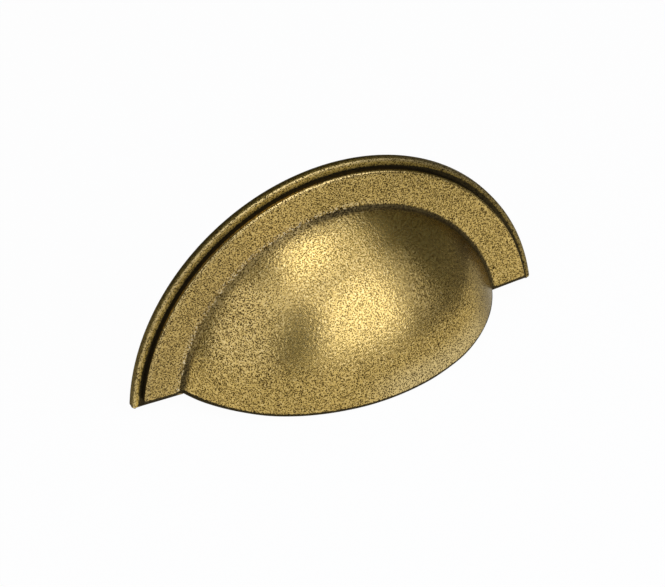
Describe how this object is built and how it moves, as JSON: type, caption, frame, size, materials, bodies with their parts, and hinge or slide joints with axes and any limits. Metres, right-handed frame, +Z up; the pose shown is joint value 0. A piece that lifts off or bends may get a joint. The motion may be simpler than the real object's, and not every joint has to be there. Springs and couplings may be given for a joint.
{
  "type": "cup pull",
  "caption": "Half-moon cup pull for a drawer front: flat bordered base plate, raised flange and a domed finger cup open below, screwed on from behind.",
  "frame": {"origin": "midway between the two screw holes, on the flat back face", "axes": "+X along the row of screw holes, +Y out of the back face into the drawer front, +Z up towards the top of the half-moon"},
  "size_m": [0.1046, 0.0274, 0.05],
  "materials": {
    "antique_brass": "pitted sand-cast surface, antique patina in the pits and corners, satin rubbed high spots"
  },
  "bodies": {
    "root": {"cup_pull": "antique_brass"}
  },
  "joints": []
}
